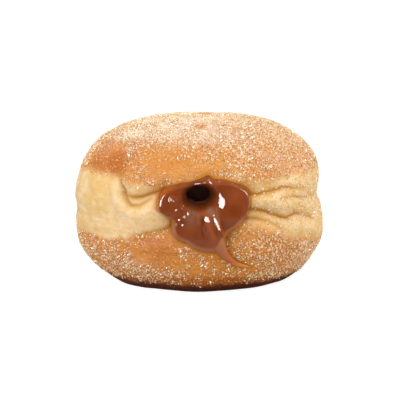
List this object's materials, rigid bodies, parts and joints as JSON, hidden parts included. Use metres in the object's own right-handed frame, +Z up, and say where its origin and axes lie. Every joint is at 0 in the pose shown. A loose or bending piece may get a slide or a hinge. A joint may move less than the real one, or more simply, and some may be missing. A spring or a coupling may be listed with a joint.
{
  "type": "caramel filled doughnut",
  "caption": "Round puffed filled doughnut with a pale waist, sugared crust and a glossy caramel filling that spills from a hole in its side.",
  "frame": {"origin": "middle of the flat base, at the level it rests on", "axes": "+Z up; the filling shows at the front, towards -Y; +X to the right as seen from the front"},
  "size_m": [0.0908, 0.0916, 0.0575],
  "materials": {
    "fried_dough": "matte, porous browned crust with a pale waist",
    "caramel": "wet gloss"
  },
  "bodies": {
    "root": {"dough_body": "fried_dough", "caramel_filling": "caramel"}
  },
  "joints": []
}
